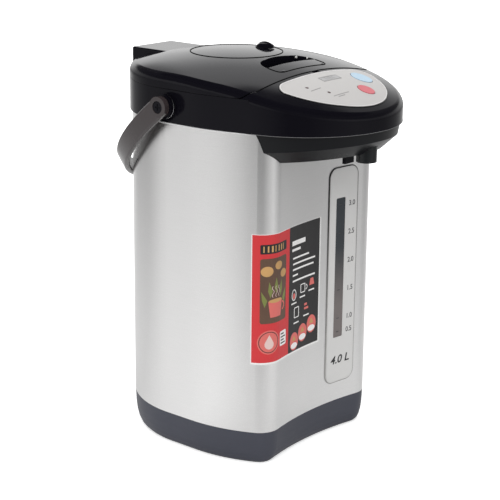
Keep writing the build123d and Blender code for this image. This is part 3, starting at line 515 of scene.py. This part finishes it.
def print_left_half(lay, x):
    """Around x: a header, a picture of a cup between leaves, a round badge and a small tile."""
    lay(Art().plate(rounded(x - 15, x + 15, 187, 195, 1.0)), "header", 2, "coal")
    stripes = Art()
    for k in range(7):
        stripes.bar(x - 12.5 + 3.6 * k, x - 11.6 + 3.6 * k + (k % 3) * 0.4, 188.4, 193.6)
    lay(stripes, "header_stripes", 3, "warm")

    lay(Art().plate(rounded(x - 15, x + 15, 127, 183, 2.0)), "picture", 2, "bark")
    suns = Art()
    for dx, y, r in ((-9, 172, 5.5), (3, 176, 4.5), (10, 168, 4.5)):
        suns.disc(x + dx, y, r, r * 0.8)
    lay(suns, "suns", 3, "warm")
    leaves = Art()
    for dx, y, lean in ((-11, 147, -3.0), (-6, 155, -1.2), (0, 158, 0.0), (6, 155, 1.2),
                        (11, 147, 3.0)):
        foot = x + dx
        leaves.shape([(foot - 2.2, y), (foot, y - 6), (foot + 2.2, y), (foot + lean, y + 8)])
    lay(leaves, "leaves", 3, "leaf")
    cup = Art().shape([(x - 8, 146), (x - 6, 132), (x + 6, 132), (x + 8, 146)])
    cup.ring(x + 8, 140, 4.2, 4.2, 1.3, n=16, start=-80, end=80)
    lay(cup, "cup", 4, "rose")
    lay(Art().disc(x, 146.2, 7.6, 1.7), "tea", 5, "warm")
    steam = Art()
    for dx in (-3.5, 0.0, 3.5):
        for k in range(3):
            start = -90 if k % 2 else 90
            steam.ring(x + dx, 151 + 3.2 * k, 1.1, 1.6, 0.5, n=8, start=start, end=start + 180)
    lay(steam, "steam", 5, "pale")

    badge = x - 6.5
    lay(Art().disc(badge, 110.5, 10.5), "badge", 2, "rose")
    lay(Art().ring(badge, 110.5, 9.3, 9.3, 0.6), "badge_ring", 3, "coal")
    lay(Art().shape(drop(badge, 108.6, 4.2, 8.4)), "drop", 3, "pale")
    lay(Art().plate(rounded(x + 6, x + 16, 104, 117, 1.5)), "tile", 2, "white")
    lines = Art()
    for k in range(4):
        lines.bar(x + 7.4, x + 14.6 - (k % 2) * 2.0, 105.8 + 2.7 * k, 106.9 + 2.7 * k)
    lay(lines, "tile_lines", 3, "coal")


def print_right_half(lay, x):
    """Right of x: plain bars for text, two rows of small signs, and three rising badges."""
    bars = Art().bar(x, x + 20, 186.5, 190.5).bar(x, x + 13, 181.5, 183.7)
    for k, width in enumerate((24, 33, 31, 8, 33)):
        bars.bar(x + 1.5, x + 1.5 + width, 174.5 - 5.0 * k, 176.0 - 5.0 * k)
    for dx, y in ((0, 135), (13, 138), (26, 141), (4, 117), (19, 120)):
        bars.bar(x + dx, x + dx + 8, y, y + 1.2)
    lay(bars, "text_bars", 2, "white")

    signs = Art().ring(x + 4, 143, 3.6, 5.0, 0.8, n=20)
    signs.border((x + 14, x + 21, 142, 150), 0.8, 1.0, 0.5)
    signs.ring(x + 22, 146, 2.2, 2.4, 0.7, n=12, start=-90, end=90)
    signs.border((x + 4.5, x + 12, 122, 131.5), 0.8, 1.2, 0.6)
    lay(signs, "signs", 2, "white")
    accents = Art().disc(x + 4, 142, 1.8, 2.6, 16)
    accents.shape([(x + 27, 146), (x + 34, 146), (x + 32.5, 152), (x + 28.5, 152)])
    accents.bar(x + 20, x + 26, 126, 128).bar(x + 20, x + 24, 129.5, 131.5)
    lay(accents, "accents", 2, "rose")

    badges, labels, marks = Art(), Art(), Art()
    for k in range(3):
        bx, by = x + 5.0 + 12.9 * k, 101.5 + 4.6 * k
        badges.disc(bx, by, 6.4, 8.0)
        labels.disc(bx, by - 3.8, 4.9, 2.7, 24)
        marks.shape([(bx - 3.0, by + 0.6), (bx + 3.0, by + 0.6), (bx, by + 5.4)])
    lay(badges, "badges", 2, "rose")
    lay(labels, "labels", 3, "white")
    lay(marks, "marks", 3, "warm")


# ---------------------------------------------------------------- level gauge
GAUGE, GAUGE_CORNER = (15.1, 51.1, 47.0, 243.5), 9.0      # boxes on the shell, as above
GAUGE_RIM, GAUGE_LIP = 0.9, 0.6                           # widths
STRIP, STRIP_CORNER, STRIP_GAP = (24.5, 35.9, 89.5, 216.0), 1.2, 0.1
GROOVE_SHADE_LIFT, STRIP_LIFT, FACE_LIFT, LIP_LIFT = 0.55, 0.62, 0.85, 0.95
LEVELS = (("3.0", 209.8), ("2.5", 184.4), ("2.0", 158.7), ("1.5", 132.9), ("1.0", 107.0),
          ("0.5", 94.5))


def build_gauge(shell):
    """Face plate with painted groove shade around it and a raised lip, the window, and the printed
    scale.
    """
    place, plate_look = shell.place, LOOKS["gauge_plastic"]
    inner, corner = grown(GAUGE, -GAUGE_RIM), GAUGE_CORNER - GAUGE_RIM
    face = Art().plate(rounded(*inner, corner), rounded(*STRIP, STRIP_CORNER, 4))
    face = face.lay("gauge_face", place, 0.0, FACE_LIFT, plate_look, slot="gauge_plastic")
    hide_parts("gauge_bezel")
    # dark band around the face plate: painted shade of the groove
    groove_shade = Art().border(GAUGE, GAUGE_RIM, GAUGE_CORNER, corner)
    groove_shade.lay("gauge_groove_shade", place, 0.0, GROOVE_SHADE_LIFT, groove_shade_line(), slot="dark_part")
    lip = Art().border(inner, GAUGE_LIP, corner, corner - GAUGE_LIP)
    lip.lay("gauge_lip", place, FACE_LIFT, LIP_LIFT, plate_look, slot="gauge_plastic")
    glass = Art().plate(rounded(*grown(STRIP, -STRIP_GAP), STRIP_CORNER - STRIP_GAP, 4))
    glass = glass.lay("gauge_strip", place, 0.0, STRIP_LIFT, gauge_strip(), slot="clear_window")
    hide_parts("gauge_window")

    ticks, figures = Art(), Art()
    for words, z in LEVELS:
        ticks.bar(28.4, 31.6, z - 0.35, z + 0.35)
        figures.text(words, 43.9, z - 2.2, 4.5, bold=0.012, stretch=0.95)
    volume = Art().text("4.0 L", 33.4, 65.0, 7.2, slant=0.22, bold=0.02, stretch=1.15)
    dark = ink("gauge_ink", (0.03, 0.03, 0.032))
    soft = ink("figure_ink", (0.045, 0.045, 0.05))
    for art, name, lift, depth, look, cuts in (
            (ticks, "gauge_ticks", STRIP_LIFT, 0.06, dark, SHELL_CUTS),
            (figures, "gauge_figures", FACE_LIFT, 0.05, soft, FIGURE_CUTS),
            (volume, "gauge_volume", FACE_LIFT, 0.05, dark, FIGURE_CUTS)):
        art.lay(name, place, lift, lift + depth, look, slot="dark_part", cuts=cuts)


# ---------------------------------------------------------------- control panel on the dome
DOME_R, DOME_TOP = 360.0 * MM, 338.2 * MM
PANEL_TOP = 0.6                        # lift of the overlay's face over the dome
PANEL_BACK = -89.0
LEFT_EDGE = ((-46.5, PANEL_BACK), (-54.2, -91.7), (-58.9, -100.0), (-48.8, -121.0),
             (-30.5, -137.2))
PANEL_EDGE = LEFT_EDGE + ((0.0, -146.4),) + tuple((-x, y) for x, y in reversed(LEFT_EDGE))
DISPLAY, DISPLAY_BORDER = (-11.2, 11.2, -103.8, -98.2), 0.9
DIGIT_LEFT, DIGIT_PITCH, DIGIT_WIDTH, STROKE = -7.2, 5.4, 3.0, 0.5
LAMPS, LAMP_R = ((-35.8, -105.3), (-24.4, -118.9)), 1.1
CAPTIONS = ((-37.5, -25.0, -110.6, 1), (-25.5, -5.5, -124.6, 2))      # from, to, at, rows
CAP_TOP = 0.45                         # the buttons' caps stand this far over the dome
BUTTONS = (     # name, node, middle and radius, colours of the ring and the sign
    ("dispense", "dispense_button", (16.5, -126.1, 7.5), (0.85, 0.42, 0.42), (0.88, 0.55, 0.56)),
    ("reboil", "reboil_button", (36.5, -106.5, 9.6), (0.62, 0.74, 0.85), (0.70, 0.80, 0.88)))


def on_dome(x, y, lift):
    """Point on the dome, lifted along its normal."""
    centre = Vector((0, 0, DOME_TOP - DOME_R))
    z = DOME_TOP - DOME_R + sqrt(DOME_R ** 2 - x * x - y * y)
    return centre + (Vector((x, y, z)) - centre).normalized() * (DOME_R + lift)


def panel_outline():
    """Arcs around the sides and the front, three points to each, and a straight back."""
    points = []
    for i in range(0, len(PANEL_EDGE) - 2, 2):
        points += arc_through(*PANEL_EDGE[i:i + 3])
    return points + [PANEL_EDGE[-1]] + [(x, PANEL_BACK) for x in (34, 17, 0, -17, -34)]


def build_panel():
    """Pale rim and dark outline, bars for captions, the display's border and digits, lamps."""
    def lay(art, name, low, high, look, slot="dark_part", cuts=DOME_CUTS):
        art.lay(name, on_dome, low, high, look, slot=slot, cuts=cuts)

    top, edge = PANEL_TOP, panel_outline()
    lay(Art().band(drawn_in(edge, 0.1), drawn_in(edge, 0.9)), "panel_rim", top, top + 0.12,
        ink("rim_ink", (0.75, 0.74, 0.73)), "panel_plastic", NO_CUTS)
    lay(Art().band(drawn_in(edge, -0.7), edge), "panel_outline", 0.0, 0.35,
        LOOKS["dark_part"], cuts=NO_CUTS)

    caption_ink = ink("caption_ink", (0.30, 0.29, 0.29))
    captions = Art()
    for x0, x1, y, rows in CAPTIONS:
        for k in range(rows):
            row = y - 2.2 * k
            captions.bar(x0 + 3.5 * k, x1 - 8.0 * k, row - 0.55, row + 0.3)
    lay(captions, "panel_captions", top, top + 0.05, caption_ink)

    border = Art().border(grown(DISPLAY, DISPLAY_BORDER), DISPLAY_BORDER, 1.0, 0.4)
    lay(border, "display_frame", top, top + 0.12, ink("display_frame_ink", (0.36, 0.355, 0.35)))
    digits = Art()
    middle = (DISPLAY[2] + DISPLAY[3]) / 2
    for k in range(3):
        x = DIGIT_LEFT + DIGIT_PITCH * k
        for y in (middle + 1.7, middle - 0.2, middle - 2.1):
            digits.bar(x, x + DIGIT_WIDTH, y, y + STROKE)
        for side in (x - 0.2, x + 2.7):
            for y in (middle - 1.5, middle + 0.4):
                digits.bar(side, side + STROKE, y, y + 1.2)
    lay(digits, "display_digits", top + 0.02, top + 0.06, caption_ink)

    lenses = Art()
    for x, y in LAMPS:
        lenses.disc(x, y, LAMP_R, n=20)
    lay(lenses, "lamp_lenses", top - 0.9, top + 0.1, ink("panel_ink", (0.2, 0.2, 0.2)),
        cuts=NO_CUTS)


def build_button_art():
    """A ring and a drop printed on each button's cap, riding on the button."""
    for name, node, (x, y, r), ring_colour, sign_colour in BUTTONS:
        size = r / 9.0
        ring = Art().ring(x, y, r - 0.7, r - 0.7, 0.9)
        sign = Art().shape(drop(x, y - 1.2 * size, 2.3 * size, 5.2 * size))
        for art, kind, colour in ((ring, "_ring", ring_colour), (sign, "_sign", sign_colour)):
            art.lay(name + kind, on_dome, CAP_TOP, CAP_TOP + 0.08,
                    ink(name + kind + "_ink", colour), node, cuts=DOME_CUTS)


# ---------------------------------------------------------------- painted shade in the seams of the lid
PLATE_R, PLATE_GAP = 39.4, 0.8                      # pump plate
RECESS_HALF, RECESS_FRONT, RECESS_CORNER = 32.5, -75.3, 7.0
LEAF_BACK, LEAF_SHADE = -61.0, (0.3, 0.75)           # the leaf's painted seam shade, by distance from the recess
LID_FRONT, LID_GAP, SEAM_HALF, NOTCH_HALF = -83.8, 0.9, 74.0, 4.6
SEAM_SHADE_PROUD, SEAM_SHADE_DEPTH, LEAF_SHADE_DEPTH = 0.4, 1.2, 0.4


def build_seam_shades():
    """Painted seam shade: soft black strips that fill the seams and stand a little proud."""
    # dark matte strips in the seams: painted shade
    rubber = plastic("seam_shade_rubber", (0.006, 0.006, 0.006), 0.65, 0.1, edge=None)

    def lay(art, name, body, depth=SEAM_SHADE_DEPTH):
        art.lay(name, on_dome, -depth, SEAM_SHADE_PROUD, rubber, body, "rubber", DOME_CUTS)

    r = PLATE_R + PLATE_GAP
    lay(Art().ring(0, 0, r, r, PLATE_GAP - 0.15, n=120), "plate_seam_shade", "lid")
    lines = []
    for inside in LEAF_SHADE:
        half, r = RECESS_HALF - inside, RECESS_CORNER - inside
        y = RECESS_FRONT + inside + r
        lines.append([(-half, LEAF_BACK), *arc(r - half, y, r, 180, 270, 6),
                      *arc(half - r, y, r, 270, 360, 6), (half, LEAF_BACK)])
    lay(Art().strip(*lines), "recess_seam_shade", "release_lever", LEAF_SHADE_DEPTH)
    beak = Art()
    for x0, x1 in ((-SEAM_HALF, -NOTCH_HALF), (NOTCH_HALF, SEAM_HALF)):
        beak.bar(x0, x1, LID_FRONT - LID_GAP, LID_FRONT - 0.25)
    lay(beak, "beak_seam_shade", "pot")


# ---------------------------------------------------------------- highlight beads, boss rings and glint pieces
CHIN_BACK = -88.0 * MM                              # the chin is in front of this
# painted highlights: beads along the collar and the chin
COLLAR_HIGHLIGHT = (286.6 * MM, 0.8 * MM)                # height and radius
CHIN_HIGHLIGHT = (287.75 * MM, 0.22 * MM)
BEAK_PLAN = 288.2 * MM                              # height at which the beak's plan is taken
BOSS_Y, BOSS_Z = -4.0 * MM, 301.5 * MM
BOSS_RINGS = (("boss_ring_outer", 97.9 * MM, 9.9 * MM, 0.42 * MM),      # x, radius, wire
              ("boss_ring_inner", 95.1 * MM, 10.3 * MM, 0.3 * MM))
RING_STEPS, WIRE_STEPS = 72, 8
# white pieces for two glints in the recess: painted highlights
RECESS_GLINTS = (((23.2, -47.2, 333.0), 1.2), ((30.0, -53.7, 332.2), 0.9))      # place and radius


def build_bead(name, path, height, radius, look, wanted):
    """Half-round bead along the wanted part of a path, at one height."""
    mesh = bmesh.new()
    turns = [pi * k / 6 - pi / 2 for k in range(7)]
    rows = []
    for i in range(1, len(path.points) - 1, 2):
        point = path.points[i]
        if not wanted(point):
            rows.append(None)
            continue
        out = path.outward(i - 1, i + 1)
        centre = Vector((point.x, point.y, height))
        rows.append([mesh.verts.new(centre + out * (radius * cos(a)) +
                                    Vector((0, 0, radius * sin(a)))) for a in turns])
    for a, b in zip(rows, rows[1:]):
        if a and b:
            for k in range(1, len(turns)):
                mesh.faces.new((a[k - 1], a[k], b[k], b[k - 1]))
    make_object(name, mesh, look, "pot", "screw_steel", smooth=True)


def build_head_highlights(shell):
    """Painted highlights as beads: bright on the steel's rolled edge under the head, pale along the
    line of beak and chin.
    """
    highlight_steel = metal("painted_highlight_steel", (0.95, 0.95, 0.95), 0.6)
    build_bead("collar_highlight", shell, *COLLAR_HIGHLIGHT, highlight_steel, lambda p: p.y > CHIN_BACK)
    beak = Path("upper_housing", BEAK_PLAN, (0.0, -0.07), 100)
    # pale grey bead: painted highlight along beak and chin
    pale = plastic("painted_highlight_grey", (0.16, 0.16, 0.165), 0.4, edge=None)
    build_bead("chin_highlight", beak, *CHIN_HIGHLIGHT, pale, lambda p: p.y < CHIN_BACK)


def build_boss_rings():
    """Bright wires around the handle's bosses, on both sides."""
    for name, x, r, wire in BOSS_RINGS:
        mesh = bmesh.new()
        for side in (-1, 1):
            rows = []
            for a in (2 * pi * i / RING_STEPS for i in range(RING_STEPS)):
                row = []
                for b in (2 * pi * k / WIRE_STEPS for k in range(WIRE_STEPS)):
                    reach = r + wire * cos(b)
                    row.append(mesh.verts.new((side * (x + wire * sin(b)),
                                               BOSS_Y + reach * cos(a), BOSS_Z + reach * sin(a))))
                rows.append(row)
            for i, row in enumerate(rows):
                last = rows[i - 1]
                for k in range(WIRE_STEPS):
                    mesh.faces.new((last[k - 1], last[k], row[k], row[k - 1]))
        make_object(name, mesh, LOOKS["screw_steel"], "pot", "screw_steel", smooth=True)


def build_recess_glints():
    """Painted highlights: two flattened white pieces in the recess's rear wall, for two glints
    there.
    """
    mesh = bmesh.new()
    for place, r in RECESS_GLINTS:
        ball = bmesh.ops.create_uvsphere(mesh, u_segments=16, v_segments=10, radius=r * MM)
        for vert in ball["verts"]:
            vert.co = Vector((vert.co.x * 1.3, vert.co.y * 0.6, vert.co.z)) + Vector(place) * MM
    make_object("recess_glints", mesh, LOOKS["white_plastic"], "lid", "white_plastic", smooth=True)


# ---------------------------------------------------------------- soft pieces under the pump plate
SOFT_GAP = 0.3 * MM                    # left between them and the plate


def build_folding():
    """Bellows and return spring, copied a little shorter to clear the plate, riding on the lid."""
    for node in ("bellows", "pump_spring"):
        low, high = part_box(node)
        depth = high[2] - low[2]
        soft = add_object(node + "_folding", frame["nodes"][node].data.copy())
        for vert in soft.data.vertices:
            vert.co.z = low[2] + (vert.co.z - low[2]) * (1 - SOFT_GAP / depth)
        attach(soft, "lid")
        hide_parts(node)
        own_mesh(soft)


# ---------------------------------------------------------------- studio
FLOOR_SIZE, FLOOR_COLOUR = 60.0, (0.86, 0.86, 0.86)
FLOOR_LIFT = 0.55        # white added for the camera alone near the object; it is 1 far off
FLOOR_GLOW = 0.1         # light that shiny pieces mirror from the floor, beyond what the lamps give
FLOOR_NEAR = (0.25, 1.3)         # metres over which the floor passes from close by to far off
LIFT_GROWS = (0.6, 2.0)          # and over which its lift grows
FAR_FLOOR = 0.64         # the far floor is this much dimmer than the studio behind it
FILL = 0.8               # what the studio gives to surfaces that don't mirror it
# brightness by bearing from the camera, in degrees, positive to the camera's right:
# the far floor and the studio low down, the floor close by, and the studio higher up
SURROUND = ((-180, 1.0), (-160, 1.0), (-138, 0.5), (-106, 0.52), (-90, 0.8), (-78, 1.0),
            (-55, 0.88), (-34, 0.55), (-15, 0.12), (8, 0.15), (35, 0.55), (60, 0.86),
            (84, 0.56), (100, 0.42), (125, 0.5), (155, 0.95), (180, 1.0))
NEARBY = ((-180, 0.85), (-140, 0.66), (-104, 0.66), (-80, 0.76), (-40, 0.9), (-8, 0.8),
          (60, 0.8), (100, 0.62), (180, 0.8))
UPPER = ((-180, 1.0), (-172, 1.0), (-168, 0.08), (-60, 0.08), (150, 0.12), (168, 0.95),
         (180, 1.0))
# shares by how steeply a direction points up: of the studio higher up, and of all brightness
UPPER_SHARE = ((0.0, 0.0), (0.22, 0.0), (0.32, 1.0), (1.0, 1.0))
OVERHEAD = ((-1.0, 1.0), (0.0, 1.0), (0.12, 1.25), (0.3, 1.4), (0.5, 1.05), (0.66, 1.35),
            (0.71, 0.1), (1.0, 0.04))
LAMP_POWER = 16


def grey(level):
    return (level, level, level, 1)


def ramp_of(tree, value, low, high, stops):
    """Grey level between stops, each a value and a level."""
    spread = add_node(tree, "ShaderNodeMapRange",
                      {"Value": value, "From Min": low, "From Max": high})
    made = add_node(tree, "ShaderNodeValToRGB", {"Fac": spread.outputs[0]})
    elements = made.color_ramp.elements
    while len(elements) < len(stops):
        elements.new(0.5)
    for element, (at, level) in zip(elements, stops):
        element.position = (at - low) / (high - low)
        element.color = grey(level)
    return made.outputs["Color"]


def surround(tree, direction, table):
    """Brightness of the studio in a direction from the object, out of a table by bearing."""
    toward = (sin(AZIMUTH), -cos(AZIMUTH), 0.0)
    aside = (cos(AZIMUTH), sin(AZIMUTH), 0.0)
    dots = [add_node(tree, "ShaderNodeVectorMath", {0: direction, 1: axis},
                     operation="DOT_PRODUCT").outputs["Value"] for axis in (aside, toward)]
    turn = add_node(tree, "ShaderNodeMath", dict(enumerate(dots)), operation="ARCTAN2")
    stops = [(radians(at), level) for at, level in table]
    return ramp_of(tree, turn.outputs[0], -pi, pi, stops)


def make_floor():
    """White to the camera, with the object's shadow; to all else as uneven as the studio."""
    half = FLOOR_SIZE / 2
    mesh = bpy.data.meshes.new("floor")
    mesh.from_pydata([(-half, -half, 0), (half, -half, 0), (half, half, 0), (-half, half, 0)],
                     [], [(0, 1, 2, 3)])
    floor = add_object("floor", mesh)
    look = Look("floor", FLOOR_COLOUR, 0.9, spec=0.0)
    tree, place = look.tree, look.coords()
    rays = look.node("ShaderNodeLightPath").outputs
    reach = look.node("ShaderNodeVectorMath", {0: place}, operation="LENGTH").outputs["Value"]
    near = look.ramp(reach, 1.0, 0.0, *FLOOR_NEAR)
    far = mix(tree, 1.0, surround(tree, place, SURROUND), grey(FAR_FLOOR), "MULTIPLY")
    tone = mix(tree, near, far, surround(tree, place, NEARBY))
    glow = look.node("ShaderNodeMath", {0: rays["Is Glossy Ray"], 1: FLOOR_GLOW},
                     operation="MULTIPLY").outputs[0]
    mirrored = mix(tree, glow, BLACK, tone)
    seen = mix(tree, look.ramp(reach, 0.0, 1.0, *LIFT_GROWS), grey(FLOOR_LIFT), WHITE)
    lift = mix(tree, rays["Is Camera Ray"], mirrored, seen)
    tone = mix(tree, rays["Is Camera Ray"], tone, (*FLOOR_COLOUR, 1))
    look.surface(Base_Color=tone, Emission_Color=lift, Emission_Strength=1.0)
    floor.data.materials.append(look.mat)


def make_world():
    """White behind the object, dimmer overhead and around the camera; plain white to the eye."""
    world = bpy.data.worlds.new("studio")
    scene.world = world
    world.use_nodes = True
    tree = world.node_tree
    direction = add_node(tree, "ShaderNodeTexCoord").outputs["Generated"]
    height = add_node(tree, "ShaderNodeSeparateXYZ", {0: direction}).outputs["Z"]
    around = mix(tree, ramp_of(tree, height, 0.0, 1.0, UPPER_SHARE),
                 surround(tree, direction, SURROUND), surround(tree, direction, UPPER))
    mirrored = mix(tree, 1.0, around, ramp_of(tree, height, -1.0, 1.0, OVERHEAD), "MULTIPLY")
    rays = add_node(tree, "ShaderNodeLightPath").outputs
    level = mix(tree, rays["Is Glossy Ray"], grey(FILL), mirrored)
    fill_in(tree, tree.nodes["Background"],
            {"Color": mix(tree, rays["Is Camera Ray"], level, WHITE), "Strength": 1.0})


def make_lamp(name, place, target, size):
    """Square soft lamp, which shiny pieces don't mirror."""
    data = bpy.data.lights.new(name, "AREA")
    data.energy = LAMP_POWER
    data.shape = "RECTANGLE"
    data.size = data.size_y = size
    lamp = add_object(name, data)
    lamp.location = place
    lamp.rotation_euler = (Vector(target) - Vector(place)).to_track_quat("-Z", "Y").to_euler()
    lamp.visible_glossy = False


make_camera()
dress_nodes()
shell_path = Path("outer_shell", 262.0 * MM)
build_sticker(shell_path)
build_gauge(shell_path)
build_panel()
build_button_art()
build_seam_shades()
build_head_highlights(shell_path)
build_boss_rings()
build_recess_glints()
build_folding()
make_floor()
make_world()
make_lamp("key", (-1.5, -0.9, 1.7), (0, 0, 0.15), 1.2)
make_lamp("back", (0.9, 1.6, 1.4), (0, 0, 0.3), 1.6)
